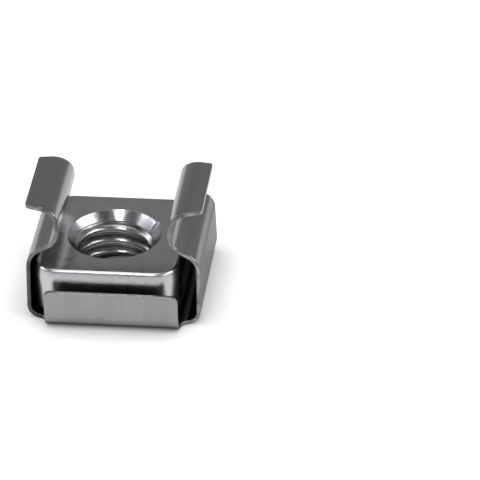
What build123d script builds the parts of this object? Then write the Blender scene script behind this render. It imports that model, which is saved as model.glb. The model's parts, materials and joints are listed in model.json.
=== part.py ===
"""Rack cage nut: a square nut trapped in a folded cage that clips into the square hole of a rack rail.

Millimetres. The origin is the centre of the cage's underside. +Z runs along the thread towards the two
spring arms, X runs across the two side walls, and Y runs from one end tab to the other.
"""
import os
from math import cos, radians, tan

from build123d import *

# Square nut, M6 coarse thread
nut_width = 10.8  # across flats, X and Y
nut_height = 3.85
nut_waist = 2.9  # straight part of the sides
nut_lean = 11.5  # inward lean of the sides above it
nut_corner = 1.9  # radius of the upright corners
nut_top_round = 0.3
thread_bore = 5.0  # diameter at the thread's crests
countersink = 6.8  # diameter of the 90 degree countersink at the top face
foot_countersink = 6.4  # the same at the underside

# Spring-steel sheet of the cage
sheet = 0.28
foot_bend = 0.75  # inside radius where walls and tabs turn up from the base
corner_relief = 0.75  # radius of the cut between a wall and a tab, which runs on into both bends
base_hole = 7.4  # lets the screw's tip through

# Room for the loose nut, which has slid towards the wall on -X and the tab on +Y
near_wall_gap = 0.05
far_wall_gap = 1.19
near_tab_gap = 0.72
far_tab_gap = 0.92

# Side walls and end tabs
wall_setback = 1.4  # each wall edge, from the outer face of the end tab
tab_setback = 1.45  # each tab edge, from the outer face of the side wall
tab_height = 3.1
tab_corner = 0.45

# Spring arms, as sections of their outer faces
shoulder_clearance = 0.87  # wall's upper corner above the nut's top face
shoulder_angle = 25.0  # rise of the shoulder, from the horizontal
shoulder_bend = 1.15  # inside radius between wall and shoulder
neck_width = 8.44  # over both necks, which pass through the rack's square hole
neck_rise = 2.09  # from the shoulder to the lip, with the rail between them
neck_bend = 1.05  # inside radius above and below the neck
lip_overhang = 0.1  # each lip tip, beyond the outer face of the side wall
lip_angle = 4.0  # rise of the lip towards its tip

# Widths in Y of the tapering arms
middle_width = 9.2  # at half the cage's height
lip_width = 7.1  # where the lip leaves the neck
tip_width = 6.65
tip_taper = 0.25  # narrowing of each lip edge for each unit of length
tip_corner = 0.3

# Values that follow from those above
foot_outside = foot_bend + sheet
cage_width = nut_width + near_wall_gap + far_wall_gap + 2 * sheet
cage_depth = nut_width + near_tab_gap + far_tab_gap + 2 * sheet
wall_width = cage_depth - 2 * wall_setback
tab_width = cage_width - 2 * tab_setback
flat_width = cage_width - 2 * foot_outside  # base between the bends of the walls
flat_depth = cage_depth - 2 * foot_outside  # base between the bends of the tabs
nut_x = -cage_width / 2 + sheet + near_wall_gap + nut_width / 2
nut_y = cage_depth / 2 - sheet - near_tab_gap - nut_width / 2
nut_top = sheet + nut_height
nut_foot_round = foot_bend - near_wall_gap  # nests in the bend at the foot of the wall
shoulder_z = nut_top + shoulder_clearance
lip_span = cage_width + 2 * lip_overhang
neck_foot_z = shoulder_z + (cage_width - neck_width) / 2 * tan(radians(shoulder_angle))
lip_z = neck_foot_z + neck_rise
tip_z = lip_z + (lip_span - neck_width) / 2 * tan(radians(lip_angle))
cage_height = tip_z + sheet * cos(radians(lip_angle))


def bent_sheet(points, radii):
    """Face of a folded sheet: a rounded outer line, thickened to its left."""
    outer_line = FilletPolyline(*points, radius=radii)
    return make_face(outer_line.wire().offset_2d(sheet, side=Side.LEFT, closed=True))


def arm_strip():
    """Base, both walls and both arms as one strip of even width, as deep as the flat of the base."""
    half = [
        (cage_width / 2, 0),
        (cage_width / 2, shoulder_z),
        (neck_width / 2, neck_foot_z),
        (neck_width / 2, lip_z),
        (lip_span / 2, tip_z),
    ]
    bends = [foot_outside, shoulder_bend + sheet, neck_bend, neck_bend]
    points = [(-x, z) for x, z in reversed(half)] + half
    section = bent_sheet(points, bends[::-1] + bends)
    return extrude(Plane.XZ * section, flat_depth / 2, both=True)


def arm_taper():
    """Side view of the walls and arms: widest at the base, then upright, then narrowing along one arc."""
    edge = Polyline(
        (flat_depth / 2, -sheet),
        (flat_depth / 2, foot_bend),
        (wall_width / 2, foot_bend),
        (wall_width / 2, foot_outside),
    )
    edge += ThreePointArc(
        (wall_width / 2, foot_outside), (middle_width / 2, cage_height / 2), (lip_width / 2, cage_height)
    )
    edge += Line((lip_width / 2, cage_height), (lip_width / 2, cage_height + sheet))
    left = mirror(edge, about=Plane.YZ)
    closing = Line(edge @ 0, left @ 0) + Line(edge @ 1, left @ 1)
    return extrude(Plane.YZ * make_face(edge + left + closing), cage_width, both=True)


def lip_trim():
    """What is cut away around the two lips, so that they narrow to rounded tips."""
    middle = tip_width / 2 + tip_taper * lip_span / 2
    tip = tip_width / 2
    reach = lip_span / 2
    corners = [(reach, -tip), (reach, tip), (0, middle), (-reach, tip), (-reach, -tip), (0, -middle)]
    outline = make_face(Polyline(*corners, close=True))
    tips = [v for v in outline.vertices() if abs(v.X) > reach / 2]
    outline = fillet(tips, tip_corner)
    around = Rectangle(2 * lip_span, 2 * cage_depth) - outline
    height = cage_height - lip_z + 2 * sheet
    return Pos(0, 0, lip_z - sheet) * extrude(around, height)


def end_tab():
    """The tab on +Y, folded up from the base."""
    points = [(0, 0), (cage_depth / 2, 0), (cage_depth / 2, tab_height)]
    section = bent_sheet(points, [foot_outside])
    front = Pos(0, tab_height / 2) * Rectangle(tab_width, tab_height)
    front = fillet(front.vertices().group_by(Axis.Y)[-1], tab_corner)
    front += Pos(0, foot_bend / 2) * Rectangle(flat_width, foot_bend)
    strip = extrude(Plane.YZ * section, flat_width / 2, both=True)
    return strip & extrude(Plane.XZ * front, cage_depth, both=True)


def corner_cut():
    """What is cut away at the four corners of the base, between the walls and the tabs."""
    cross = Rectangle(cage_width, wall_width) + Rectangle(tab_width, cage_depth)
    inner_corners = cross.vertices().sort_by_distance((0, 0, 0))[:4]
    cross = fillet(inner_corners, corner_relief)
    return extrude(Rectangle(2 * cage_width, 2 * cage_depth) - cross, foot_outside)


def make_cage():
    """The whole cage, one folded sheet."""
    cage = (arm_strip() & arm_taper()) - lip_trim()
    tab = end_tab()
    cage += tab + mirror(tab, about=Plane.XZ)
    cage -= corner_cut()
    return cage - Cylinder(base_hole / 2, 4 * sheet)


def make_nut():
    """Square nut with round corners, leaning upper sides and a bore countersunk from both faces."""
    plan = Rectangle(nut_width, nut_width)
    plan = fillet(plan.vertices(), nut_corner)
    nut = extrude(plan, nut_waist)
    nut += extrude(Pos(0, 0, nut_waist) * plan, nut_height - nut_waist, taper=nut_lean)
    nut = fillet(nut.faces().sort_by(Axis.Z)[-1].edges(), nut_top_round)
    nut = fillet(nut.faces().sort_by(Axis.Z)[0].edges(), nut_foot_round)
    bore = thread_bore / 2
    top = countersink / 2
    foot = foot_countersink / 2
    tool = Polyline(
        (0, 0),
        (foot, 0),
        (bore, foot - bore),
        (bore, nut_height - top + bore),
        (top, nut_height),
        (0, nut_height),
        close=True,
    )
    nut -= revolve(Plane.XZ * make_face(tool), Axis.Z)
    return Pos(nut_x, nut_y, sheet) * nut


os.makedirs("parts", exist_ok=True)
export_step(make_cage(), "parts/spring_cage.step")
export_step(make_nut(), "parts/square_nut.step")
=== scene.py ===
"""Looks of the rack cage nut: its threaded nut, plated steel, a white stage and the photo's view."""
import json
from math import atan2, cos, pi, radians, sin, tan

import bpy
from mathutils import Matrix, Vector

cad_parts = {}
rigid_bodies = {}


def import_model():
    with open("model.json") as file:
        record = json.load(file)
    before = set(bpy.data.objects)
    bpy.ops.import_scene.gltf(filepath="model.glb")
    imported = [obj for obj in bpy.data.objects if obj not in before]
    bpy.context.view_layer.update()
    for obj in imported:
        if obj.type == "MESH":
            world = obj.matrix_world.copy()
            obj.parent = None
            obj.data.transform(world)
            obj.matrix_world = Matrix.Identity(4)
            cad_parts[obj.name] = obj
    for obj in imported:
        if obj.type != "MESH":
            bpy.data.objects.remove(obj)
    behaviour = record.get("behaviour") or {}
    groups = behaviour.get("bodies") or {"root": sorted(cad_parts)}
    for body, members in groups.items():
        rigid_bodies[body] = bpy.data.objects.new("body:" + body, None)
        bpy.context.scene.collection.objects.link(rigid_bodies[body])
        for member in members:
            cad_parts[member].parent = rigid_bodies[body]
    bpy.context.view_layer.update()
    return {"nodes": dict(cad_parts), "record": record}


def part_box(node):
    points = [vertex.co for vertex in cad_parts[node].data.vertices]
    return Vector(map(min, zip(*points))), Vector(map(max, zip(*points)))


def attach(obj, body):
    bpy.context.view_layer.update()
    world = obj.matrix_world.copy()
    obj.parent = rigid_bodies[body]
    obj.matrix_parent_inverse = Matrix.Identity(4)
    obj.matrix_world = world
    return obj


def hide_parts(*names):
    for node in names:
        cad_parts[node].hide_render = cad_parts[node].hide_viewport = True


MM = 0.001  # one millimetre in the frame's metres

# Nut, in millimetres; its box, its axis and the crest radius come from the frame
CORNER_ROUND = 1.9  # of the upright corners
WAIST = 2.9  # straight part of the sides
LEAN = radians(11.5)  # inward lean of the sides above it
WAIST_BLEND = 0.4  # height over which the lean begins
TOP_ROUND = 0.3
FOOT_ROUND = 0.7
TOP_SINK = 3.4  # radius of the 90 degree countersink at the top face
FOOT_SINK = 3.2
PITCH = 1.0
ROOT_RADIUS = 3.0
ROOT_FLAT = 0.125  # share of the pitch
FLANK_ANGLE = radians(30)  # of the thread's flanks, from square to the axis
SPARE_TURNS = 2  # of thread beyond each face, before it is cut off there
THREAD_START = 0.2833  # share of a turn
EDGE_SHARE = 0.42  # share of each flat and flank of the thread that its rounded end takes up
STEP_ANGLE = radians(31)  # where the tap has broken into the countersink
STEP_REACH = radians(55)  # over which the step fades out
STEP_DEPTH = 0.2

# Steps along the nut's curves
SIDE_STEPS = 28
ARC_STEPS = 16
EDGE_STEPS = 4
SHARP_ANGLE = radians(38)  # larger turns between faces stay sharp in the shading

# Both metals; lengths and depths in millimetres
NOISE_RANGE = (0.3, 0.7)  # where most of a noise's values lie
NOISE_DETAIL = 3.0
DULL_TINT = 0.42  # reflection at a low angle, as a share of the usual one
RECESS_REACH = 2.2  # faces with less room than this in front of them get painted shade
RECESS_ROOM = (0.1, 0.5)  # shares of open room on a fully shaded face and on an unshaded one
RECESS_SHADE_LEVEL = 0.25  # painted shade: brightness of a face in a recess, as a share of an open one's
RECESS_SAMPLES = 8
EDGE_SAMPLES = 6  # of the rounding of edges in the shading

# Cage
SHEET_PLATING = ((0.255, 0.255, 0.26), (0.29, 0.29, 0.295))  # darkest and lightest
SHEET_ROUGHNESS = (0.17, 0.26)
STREAK_SIZE = 0.7
STREAK_DETAIL = 4.0
STREAK_DEPTH = 0.015
GRAIN_SIZE = 0.1
GRAIN_DEPTH = 0.0015
ROLLING = 0.06  # squeeze of the grain along the sheet's rolling lines
TAB_GRAIN = 0.3  # upright squeeze of the grain on the end tabs
ARM_FOOT = 4.4  # heights between which the walls turn into arms
ARM_START = 5.2
ARM_TINT = 0.9  # in place of the dull one on the arms
INNER_SLOPE = -0.3  # upward part of the normal below which a face is on the arms' inner side
INNER_PAINTED_LIGHT = (0.75, 0.75, 0.76)  # painted light there, in place of the plating's colour
CUT_ROUND = 0.14  # rounding of the sheet's edges in the shading
CUT_FACING = 0.8  # part of the normal along Y above which a face is a cut edge or a tab
TAB_PLACE = 5.6  # from the middle, between the arms' cut edges and the end tabs
BARE_STEEL = ((0.13, 0.13, 0.133), (0.32, 0.32, 0.325))  # darkest and lightest on the cut edges
BREAK_SIZE = 0.6
BREAK_LEVEL = 0.4  # brightness of the cut edge low on the left wall, as a share of the others'

# Nut's surface
NUT_PLATING = ((0.39, 0.39, 0.4), (0.45, 0.45, 0.465))
NUT_ROUGHNESS = (0.18, 0.26)
NUT_ROUND = 0.05  # rounding of its edges in the shading
LEVEL_FACE = 0.7  # upward part of the normal above which a face counts as level, like the countersink
SIDE_PAINTED_LIGHT = 1.25  # painted light: brightness of the sides, in brightnesses of the level faces
SIDE_ROUGHNESS = 0.08  # added on the sides
THREAD_ROUGHNESS = 0.02  # added on the thread
THREAD_MARGIN = 0.05  # depth behind the countersink's face at which the thread begins
RECESS_SHADE_TINT = 0.1  # painted shade: in place of the dull one in recesses
CLOUD_SIZE = 0.9
CLOUD_DEPTH = 0.02
PIT_SIZE = 0.2
PIT_DEPTH = 0.016
LEVEL_PIT_DEPTH = 0.0048  # on level faces
RING_SIZE = 0.1
RING_DETAIL = 2.0
RING_DEPTH = 0.004  # of the tool's rings in the countersink

# Stage and light; lamps and the floor's own radius in metres, other lengths in millimetres
FLOOR_RADIUS = 1.5
FLOOR_SIDES = 96
FLOOR_GREY = 0.36
FLOOR_ROUGHNESS = 0.9
FLOOR_GLOW = 0.78
UNDER_GLOW = 0.55  # the same under the cage, as a painted shadow
UNDER_RADIUS = 4.0
CLEAR_RADIUS = 6.0  # where the floor has come out from under the cage
# reach of the painted shadow in the floor's glow
SHADOW_REACH = 3.0
ROOM_LEVELS = [  # height of a direction and the room's brightness there
    (0.0, (0.7, 0.7, 0.71)),
    (0.06, (0.38, 0.38, 0.39)),
    (0.58, (0.4, 0.4, 0.41)),
    (0.72, (0.12, 0.12, 0.125)),
]
LAMP_DISTANCE = 0.4
LAMPS = [  # name, direction from the object, width and height, radiance
    ("front_softbox", (-0.13, -0.51, 0.84), (0.08, 0.18), 7.0),
    ("left_softbox", (-0.83, 0.12, 0.53), (0.28, 0.2), 3.5),
    ("right_softbox", (0.73, 0.0, 0.69), (0.21, 0.2), 3.0),
    ("overhead_softbox", (-0.1, 0.1, 1), (0.2, 0.2), 2.4),
    ("side_strip", (0.816, -0.144, 0.559), (0.46, 0.09), 4.5),
]

# Camera, fitted to the photo's edges at a chosen focal length, then moved sideways a little
IMAGE_SIZE = 480
FOCAL_PIXELS = 4000.5
SENSOR = 36.0
YAW = radians(-7.28)
PITCH_DOWN = radians(32.26)
ROLL = radians(1.59)
CAMERA_TARGET = Vector((0, 0, 4.246)) * MM
TARGET_IN_CAMERA = Vector((-8.606, -0.468, 290.93)) * MM  # right, down and forward of the lens


def clear_scene():
    """Removes whatever the empty file holds."""
    for thing in list(bpy.data.objects):
        bpy.data.objects.remove(thing)


# The nut's mesh

def quarter_outline(half):
    """Points and normals of one side and the round corner after it, in plan, from the side facing +X."""
    side_end = half - CORNER_ROUND
    reach = atan2(side_end, half)
    rows = []
    for step in range(SIDE_STEPS):
        angle = reach * (2 * step / SIDE_STEPS - 1)
        rows.append((Vector((half, half * tan(angle))), Vector((1, 0))))
    centre = Vector((side_end, side_end))
    for step in range(ARC_STEPS):
        angle = step / ARC_STEPS * pi / 2
        normal = Vector((cos(angle), sin(angle)))
        rows.append((centre + normal * CORNER_ROUND, normal))
    return rows


def plan_columns(half):
    """Angle about the axis, outline point and normal of every upright line of the mesh."""
    columns = []
    for quarter in range(4):
        turn = Matrix.Rotation(quarter * pi / 2, 2)
        for point, normal in quarter_outline(half):
            angle = atan2(point.y, point.x) + quarter * pi / 2
            columns.append((angle, turn @ point, turn @ normal))
    return columns


def outside_rows(height):
    """Inset from the outline and height of each ring of the outside, from the foot up."""
    rows = []
    for step in range(EDGE_STEPS + 1):
        angle = step / EDGE_STEPS * pi / 2
        rows.append((FOOT_ROUND * (1 - sin(angle)), FOOT_ROUND * (1 - cos(angle))))
    for step in range(EDGE_STEPS + 1):
        share = step / EDGE_STEPS
        rise = (share - 0.5) * WAIST_BLEND
        rows.append((tan(LEAN) * WAIST_BLEND / 2 * share ** 2, WAIST + rise))
    centre_z = height - TOP_ROUND
    centre_inset = (centre_z - WAIST) * tan(LEAN) + TOP_ROUND / cos(LEAN)
    for step in range(EDGE_STEPS + 1):
        angle = LEAN + step / EDGE_STEPS * (pi / 2 - LEAN)
        rows.append((centre_inset - TOP_ROUND * cos(angle), centre_z + TOP_ROUND * sin(angle)))
    return rows


def thread_profile(crest):
    """One pitch of the thread as (height in pitches, radius), with rounded edges."""
    flank = (ROOT_RADIUS - crest) * tan(FLANK_ANGLE) / PITCH
    crest_half = 0.5 - ROOT_FLAT / 2 - flank
    root_half = ROOT_FLAT / 2
    corners = [
        (-crest_half, crest),
        (crest_half, crest),
        (0.5 - root_half, ROOT_RADIUS),
        (0.5 + root_half, ROOT_RADIUS),
    ]
    profile = []
    for index, corner in enumerate(corners):
        here = Vector(corner)
        before = Vector(corners[index - 1]) - Vector((1 if index == 0 else 0, 0))
        after = Vector(corners[(index + 1) % 4]) + Vector((1 if index == 3 else 0, 0))
        start = here.lerp(before, EDGE_SHARE)
        end = here.lerp(after, EDGE_SHARE)
        for step in range(EDGE_STEPS + 1):
            share = step / EDGE_STEPS
            point = start.lerp(here, share).lerp(here.lerp(end, share), share)
            profile.append((point.x, point.y))
    return profile


def step_depth(angle):
    """How much wider the countersink is at one angle, after the step where the thread runs out."""
    past_step = (STEP_ANGLE - angle) % (2 * pi)
    return STEP_DEPTH * max(0, 1 - past_step / STEP_REACH)


def thread_column(angle, profile, height):
    """The thread at one angle, from below the foot to above the top face, as (label, radius, height)."""
    turns = int(height / PITCH) + 1
    column = []
    for turn in range(-SPARE_TURNS, turns + SPARE_TURNS):
        for index, (rise, radius) in enumerate(profile):
            z = PITCH * (turn + rise + THREAD_START + angle / (2 * pi))
            column.append(((turn, index), radius, z))
    return column


def bore_column(angle, profile, height):
    """The bore's wall at one angle, from the top face down, as (label, radius, height)."""
    rim = TOP_SINK + step_depth(angle)
    sinks = {
        "top": lambda z: rim - (height - z),
        "foot": lambda z: FOOT_SINK - z,
    }
    thread = thread_column(angle, profile, height)
    wall = [("foot", FOOT_SINK, 0.0)]
    for here, above in zip(thread, thread[1:]):
        if all(here[1] > sink(here[2]) for sink in sinks.values()):
            wall.append(here)
        for name, sink in sinks.items():
            low = here[1] - sink(here[2])
            high = above[1] - sink(above[2])
            if low * high < 0:
                share = low / (low - high)
                radius = here[1] + share * (above[1] - here[1])
                z = here[2] + share * (above[2] - here[2])
                wall.append(((name,) + here[0], radius, z))
    wall.append(("top", rim, height))
    return wall[::-1]


def nut_loops(half, height, crest):
    """Vertices in millimetres about the axis, and for every column a closed loop of (label, vertex)."""
    profile = thread_profile(crest)
    columns = plan_columns(half)
    vertices = []
    loops = []
    for angle, point, normal in columns:
        spots = []
        for label, radius, z in bore_column(angle, profile, height):
            spots.append((label, (radius * cos(angle), radius * sin(angle), z)))
        for ring, (inset, z) in enumerate(outside_rows(height)):
            spot = point - normal * inset
            spots.append((("outside", ring), (spot.x, spot.y, z)))
        first = len(vertices)
        vertices += [spot for label, spot in spots]
        loop = [(label, first + index) for index, (label, spot) in enumerate(spots)]
        loops.append(loop + [("closing", first)])
    # After a full turn the first column comes again, with the thread's labels one turn on
    full_turn = columns[0][0] + 2 * pi
    labels = [label for label, radius, z in bore_column(full_turn, profile, height)]
    labels += [label for label, vertex in loops[0][len(labels):]]
    loops.append([(label, vertex) for label, (old, vertex) in zip(labels, loops[0])])
    return vertices, loops


def join_columns(left, right):
    """Faces between two neighbouring loops, whose labels differ where the thread runs out."""
    faces = []
    left_labels = {label for label, vertex in left}
    right_labels = {label for label, vertex in right}
    a = b = 0
    while a < len(left) - 1 or b < len(right) - 1:
        next_left = left[a + 1][0] if a < len(left) - 1 else None
        next_right = right[b + 1][0] if b < len(right) - 1 else None
        if next_left == next_right:
            faces.append((left[a][1], right[b][1], right[b + 1][1], left[a + 1][1]))
            a += 1
            b += 1
        elif next_left is not None and next_left not in right_labels:
            faces.append((left[a][1], right[b][1], left[a + 1][1]))
            a += 1
        else:
            assert next_right not in left_labels
            faces.append((left[a][1], right[b][1], right[b + 1][1]))
            b += 1
    return faces


def nut_mesh(low, high, crest):
    """The square nut with its thread, as one closed mesh in the frame's metres."""
    centre = (low + high) / 2
    half = (high.x - low.x) / 2 / MM
    height = (high.z - low.z) / MM
    spots, loops = nut_loops(half, height, crest)
    vertices = [(centre.x + x * MM, centre.y + y * MM, low.z + z * MM) for x, y, z in spots]
    faces = []
    for left, right in zip(loops, loops[1:]):
        faces += join_columns(left, right)
    mesh = bpy.data.meshes.new("threaded_nut")
    mesh.from_pydata(vertices, [], faces)
    mesh.polygons.foreach_set("use_smooth", [True] * len(mesh.polygons))
    mesh.set_sharp_from_angle(angle=SHARP_ANGLE)
    return mesh


def make_nut(frame, material):
    """Replaces the plain-bored nut by the threaded one."""
    low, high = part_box("square_nut")
    mounts = {mount["name"]: mount for mount in frame["record"]["mounts"]}
    crest = mounts["nut_thread"]["dims"]["r_mm"]
    mesh = nut_mesh(low, high, crest)
    mesh.materials.append(material)
    nut = bpy.data.objects.new("threaded_nut", mesh)
    bpy.context.scene.collection.objects.link(nut)
    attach(nut, "root")
    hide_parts("square_nut")


# Steps that materials are made of

def fill(tree, node, inputs):
    """Fills a node's inputs, each from a socket or a plain value."""
    for key, value in dict(inputs).items():
        if isinstance(value, bpy.types.NodeSocket):
            tree.links.new(value, node.inputs[key])
        else:
            node.inputs[key].default_value = value


def add_node(tree, kind, inputs=(), **settings):
    """Adds a shader node, sets its options and fills its inputs."""
    node = tree.nodes.new("ShaderNode" + kind)
    for name, value in settings.items():
        setattr(node, name, value)
    fill(tree, node, inputs)
    return node


def new_material(name):
    """A node material, its node tree and its principled shader."""
    material = bpy.data.materials.new(name)
    material.use_nodes = True
    return material, material.node_tree, material.node_tree.nodes["Principled BSDF"]


def compute(tree, operation, *values):
    """One step of arithmetic on sockets and plain values."""
    return add_node(tree, "Math", dict(enumerate(values)), operation=operation).outputs[0]


def between(tree, share, start, end):
    """A value that goes from start to end as the share goes from zero to one."""
    return compute(tree, "MULTIPLY_ADD", share, end - start, start)


def ranged(tree, source, limits, ends):
    """Maps what lies between two limits to what lies between two ends, and holds it there."""
    inputs = {
        "Value": source,
        "From Min": limits[0],
        "From Max": limits[1],
        "To Min": ends[0],
        "To Max": ends[1],
    }
    return add_node(tree, "MapRange", inputs).outputs["Result"]


def split(tree, vector):
    """The three parts of a vector."""
    return add_node(tree, "SeparateXYZ", {"Vector": vector}).outputs


def noise(tree, place, size, detail=NOISE_DETAIL):
    """Noise whose lumps are about as large as the given size in millimetres."""
    inputs = {"Vector": place, "Scale": 1 / (size * MM), "Detail": detail}
    return add_node(tree, "TexNoise", inputs).outputs["Fac"]


def tinted(tree, source, dark, light):
    """Colour between two greys, by the middle of a noise's range."""
    ramp = add_node(tree, "ValToRGB", {"Fac": source})
    for stop, position, colour in zip(ramp.color_ramp.elements, NOISE_RANGE, (dark, light)):
        stop.position = position
        stop.color = (*colour, 1)
    return ramp.outputs["Color"]


def mixed(tree, share, first, second):
    """A colour that goes from the first to the second as the share goes from zero to one."""
    inputs = {"Fac": share, "Color1": first, "Color2": second}
    return add_node(tree, "MixRGB", inputs).outputs["Color"]


def shaded(tree, colour, shade):
    """A colour times a grey shade."""
    inputs = {"Fac": 1.0, "Color1": colour, "Color2": shade}
    return add_node(tree, "MixRGB", inputs, blend_type="MULTIPLY").outputs["Color"]


def relief(tree, height, rounding):
    """Fine relief, its height in millimetres, over edges that catch the light as if slightly rounded."""
    edge = add_node(tree, "Bevel", {"Radius": rounding * MM}, samples=EDGE_SAMPLES).outputs["Normal"]
    inputs = {"Height": height, "Distance": MM, "Strength": 1.0, "Normal": edge}
    return add_node(tree, "Bump", inputs).outputs["Normal"]


def openness(tree):
    """One in the open, down to zero in narrow recesses, where shade is painted."""
    reach = {"Distance": RECESS_REACH * MM}
    room = add_node(tree, "AmbientOcclusion", reach, samples=RECESS_SAMPLES).outputs["AO"]
    return ranged(tree, room, RECESS_ROOM, (0.0, 1.0))


# Cage's material

def rolled_place(tree, place, facing):
    """Coordinates squeezed along the sheet's rolling lines: along Y, and upright on the end tabs."""
    x, y, z = split(tree, place)
    along = compute(tree, "MULTIPLY", y, ROLLING)
    up = compute(tree, "MULTIPLY", z, between(tree, facing, 1.0, TAB_GRAIN))
    return add_node(tree, "CombineXYZ", {"X": x, "Y": along, "Z": up}).outputs["Vector"]


def cut_edges(tree, place, facing):
    """One on the cut edges of walls and arms, which face along Y but lie inside the end tabs."""
    from_middle = compute(tree, "ABSOLUTE", split(tree, place)["Y"])
    inside = compute(tree, "LESS_THAN", from_middle, TAB_PLACE * MM)
    edge = compute(tree, "GREATER_THAN", facing, CUT_FACING)
    return compute(tree, "MULTIPLY", inside, edge)


def sheet_colour(tree, streaks, normal, arm):
    """Plating with rolling streaks, and painted light on the arms' inner side."""
    plating = tinted(tree, streaks, *SHEET_PLATING)
    under = compute(tree, "LESS_THAN", split(tree, normal)["Z"], INNER_SLOPE)
    # Painted light: the arms' downward-facing faces get a much lighter grey
    painted_light_share = compute(tree, "MULTIPLY", under, arm)
    return mixed(tree, painted_light_share, plating, (*INNER_PAINTED_LIGHT, 1))


def bare_colour(tree, place, arm):
    """Broken steel of the cut edges, darkest low on the left wall."""
    bare = tinted(tree, noise(tree, place, BREAK_SIZE), *BARE_STEEL)
    left = compute(tree, "LESS_THAN", split(tree, place)["X"], 0.0)
    low_left = compute(tree, "MAXIMUM", compute(tree, "SUBTRACT", left, arm), 0.0)
    return shaded(tree, bare, between(tree, low_left, 1.0, BREAK_LEVEL))


def cage_material():
    """Satin plating over rolled spring steel, with bare cut edges."""
    material, tree, shader = new_material("satin_plated_cage")
    place = add_node(tree, "TexCoord").outputs["Object"]
    normal = add_node(tree, "NewGeometry").outputs["True Normal"]
    facing = compute(tree, "ABSOLUTE", split(tree, normal)["Y"])
    height = split(tree, place)["Z"]
    arm = ranged(tree, height, (ARM_FOOT * MM, ARM_START * MM), (0.0, 1.0))
    streaks = noise(tree, rolled_place(tree, place, facing), STREAK_SIZE, STREAK_DETAIL)
    plating = sheet_colour(tree, streaks, normal, arm)
    colour = mixed(tree, cut_edges(tree, place, facing), plating, bare_colour(tree, place, arm))
    # Painted shade: below the arms, recesses get a darker base colour
    on_arm = compute(tree, "GREATER_THAN", height, ARM_FOOT * MM)
    unshaded = compute(tree, "MAXIMUM", openness(tree), on_arm)
    grain = compute(tree, "MULTIPLY", noise(tree, place, GRAIN_SIZE), GRAIN_DEPTH)
    waves = compute(tree, "MULTIPLY_ADD", streaks, STREAK_DEPTH, grain)
    fill(tree, shader, {
        "Metallic": 1,
        "Base Color": shaded(tree, colour, between(tree, unshaded, RECESS_SHADE_LEVEL, 1.0)),
        "Roughness": ranged(tree, streaks, NOISE_RANGE, SHEET_ROUGHNESS),
        "Specular Tint": between(tree, arm, DULL_TINT, ARM_TINT),
        "Normal": relief(tree, waves, CUT_ROUND),
    })
    return material


# Nut's material

def from_axis(tree, place, low, high):
    """Distance from the nut's axis."""
    x, y, z = split(tree, place)
    across = compute(tree, "SUBTRACT", x, (low.x + high.x) / 2)
    deep = compute(tree, "SUBTRACT", y, (low.y + high.y) / 2)
    squares = compute(tree, "MULTIPLY_ADD", across, across, compute(tree, "MULTIPLY", deep, deep))
    return compute(tree, "SQRT", squares)


def tapped_part(tree, radius, height, bored, top):
    """One on the thread, which lies behind the countersink's face."""
    behind = compute(tree, "SUBTRACT", radius, height)
    limit = (TOP_SINK + THREAD_MARGIN) * MM - top
    return compute(tree, "MULTIPLY", bored, compute(tree, "GREATER_THAN", behind, limit))


def nut_relief(tree, place, radius, cone, level, clouds):
    """Waves and pits, which are shallow on level faces, and the tool's rings in the countersink."""
    turned = add_node(tree, "CombineXYZ", {"X": radius, "Z": split(tree, place)["Z"]}).outputs["Vector"]
    rings = compute(tree, "MULTIPLY", noise(tree, turned, RING_SIZE, RING_DETAIL), cone)
    depth = between(tree, level, PIT_DEPTH, LEVEL_PIT_DEPTH)
    pits = compute(tree, "MULTIPLY", noise(tree, place, PIT_SIZE), depth)
    uneven = compute(tree, "MULTIPLY_ADD", clouds, CLOUD_DEPTH, pits)
    return relief(tree, compute(tree, "MULTIPLY_ADD", rings, RING_DEPTH, uneven), NUT_ROUND)


def nut_roughness(tree, clouds, tapped, side):
    """Cloudy gloss, duller on the sides and a little on the thread."""
    smooth = ranged(tree, clouds, NOISE_RANGE, NUT_ROUGHNESS)
    threaded = compute(tree, "MULTIPLY_ADD", tapped, THREAD_ROUGHNESS, smooth)
    return compute(tree, "MULTIPLY_ADD", side, SIDE_ROUGHNESS, threaded)


def nut_material(low, high):
    """Bright plating, rougher on the sides and painted lighter there, with the tool's rings in the
    countersink.
    """
    material, tree, shader = new_material("bright_plated_nut")
    place = add_node(tree, "TexCoord").outputs["Object"]
    normal = add_node(tree, "NewGeometry").outputs["True Normal"]
    level = compute(tree, "GREATER_THAN", split(tree, normal)["Z"], LEVEL_FACE)
    radius = from_axis(tree, place, low, high)
    bored = compute(tree, "LESS_THAN", radius, TOP_SINK * MM)
    tapped = tapped_part(tree, radius, split(tree, place)["Z"], bored, high.z)
    cone = compute(tree, "SUBTRACT", bored, tapped)
    side = compute(tree, "SUBTRACT", 1.0, compute(tree, "MAXIMUM", level, bored))
    clouds = noise(tree, place, CLOUD_SIZE)
    # Painted light: the sides' colour is lifted above that of the level faces
    plating = shaded(tree, tinted(tree, clouds, *NUT_PLATING), between(tree, side, 1.0, SIDE_PAINTED_LIGHT))
    # Painted shade: off the level faces, recesses get a darker colour, except in the bore, and a weaker
    # reflection at low angles
    room = compute(tree, "MAXIMUM", openness(tree), level)
    unshaded = compute(tree, "MAXIMUM", room, bored)
    fill(tree, shader, {
        "Metallic": 1,
        "Base Color": shaded(tree, plating, between(tree, unshaded, RECESS_SHADE_LEVEL, 1.0)),
        "Roughness": nut_roughness(tree, clouds, tapped, side),
        "Specular Tint": between(tree, room, RECESS_SHADE_TINT, DULL_TINT),
        "Normal": nut_relief(tree, place, radius, cone, level, clouds),
    })
    return material


# Stage, light and camera

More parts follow.
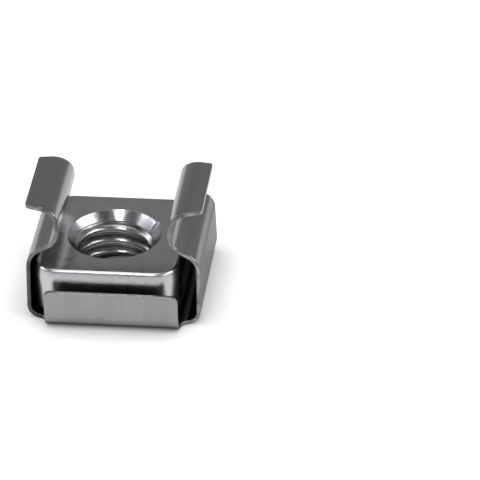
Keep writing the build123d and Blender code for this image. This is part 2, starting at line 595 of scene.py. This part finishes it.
def floor_glow(tree):
    """Glow that the camera and reflections see, with a painted shadow: weaker under the cage and close to
    it.
    """
    path = add_node(tree, "LightPath").outputs
    mirrored = compute(tree, "MAXIMUM", path["Is Glossy Ray"], path["Is Transmission Ray"])
    seen = compute(tree, "MAXIMUM", path["Is Camera Ray"], mirrored)
    # Painted shadow: the glow is dimmed near the object and under the cage
    shade = add_node(tree, "AmbientOcclusion", {"Distance": SHADOW_REACH * MM}).outputs["AO"]
    place = add_node(tree, "TexCoord").outputs["Object"]
    away = add_node(tree, "VectorMath", {0: place}, operation="LENGTH").outputs["Value"]
    lit = ranged(tree, away, (UNDER_RADIUS * MM, CLEAR_RADIUS * MM), (UNDER_GLOW, FLOOR_GLOW))
    return compute(tree, "MULTIPLY", seen, compute(tree, "MULTIPLY", shade, lit))


def make_floor():
    """White floor with the object's soft shadow from the lamps, and a painted shadow in its glow."""
    bpy.ops.mesh.primitive_circle_add(vertices=FLOOR_SIDES, radius=FLOOR_RADIUS, fill_type="NGON")
    floor = bpy.context.object
    floor.name = "floor"
    material, tree, shader = new_material("white_floor")
    fill(tree, shader, {
        "Base Color": (FLOOR_GREY, FLOOR_GREY, FLOOR_GREY, 1),
        "Roughness": FLOOR_ROUGHNESS,
        "Specular IOR Level": 0,
        "Emission Color": (1, 1, 1, 1),
        "Emission Strength": floor_glow(tree),
    })
    floor.data.materials.append(material)


def make_world():
    """Grey room, dark overhead and bright at the horizon."""
    world = bpy.data.worlds.new("studio")
    bpy.context.scene.world = world
    world.use_nodes = True
    tree = world.node_tree
    direction = add_node(tree, "TexCoord").outputs["Generated"]
    ramp = add_node(tree, "ValToRGB", {"Fac": split(tree, direction)["Z"]})
    stops = ramp.color_ramp.elements
    stops.remove(stops[1])
    stops[0].position = ROOM_LEVELS[0][0]
    stops[0].color = (*ROOM_LEVELS[0][1], 1)
    for position, colour in ROOM_LEVELS[1:]:
        stops.new(position).color = (*colour, 1)
    fill(tree, tree.nodes["Background"], {"Color": ramp.outputs["Color"]})


def add_softbox(name, direction, size, radiance):
    """Rectangular lamp that faces the object."""
    light = bpy.data.lights.new(name, "AREA")
    light.shape = "RECTANGLE"
    light.size = size[0]
    light.size_y = size[1]
    light.energy = radiance * pi * size[0] * size[1]
    lamp = bpy.data.objects.new(name, light)
    bpy.context.scene.collection.objects.link(lamp)
    way = Vector(direction).normalized()
    lamp.location = CAMERA_TARGET + way * LAMP_DISTANCE
    lamp.rotation_euler = way.to_track_quat("Z", "Y").to_euler()


def make_camera():
    """Camera of the photo, from the fitted turn, tilt, roll and distance."""
    forward = Vector((sin(YAW) * cos(PITCH_DOWN), cos(YAW) * cos(PITCH_DOWN), -sin(PITCH_DOWN)))
    right = Vector((cos(YAW), -sin(YAW), 0))
    down = forward.cross(right)
    rolled_right = right * cos(ROLL) + down * sin(ROLL)
    rolled_down = down * cos(ROLL) - right * sin(ROLL)
    data = bpy.data.cameras.new("photo_camera")
    data.sensor_width = SENSOR
    data.lens = FOCAL_PIXELS * SENSOR / IMAGE_SIZE
    camera = bpy.data.objects.new("photo_camera", data)
    bpy.context.scene.collection.objects.link(camera)
    axes = Matrix((rolled_right, -rolled_down, -forward)).transposed()
    offset = (
        rolled_right * TARGET_IN_CAMERA.x + rolled_down * TARGET_IN_CAMERA.y + forward * TARGET_IN_CAMERA.z
    )
    camera.matrix_world = Matrix.Translation(CAMERA_TARGET - offset) @ axes.to_4x4()
    bpy.context.scene.camera = camera


clear_scene()
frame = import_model()
frame["nodes"]["spring_cage"].data.materials[0] = cage_material()
make_nut(frame, nut_material(*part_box("square_nut")))
make_floor()
make_world()
for lamp in LAMPS:
    add_softbox(*lamp)
make_camera()
bpy.context.scene.view_settings.view_transform = "Standard"
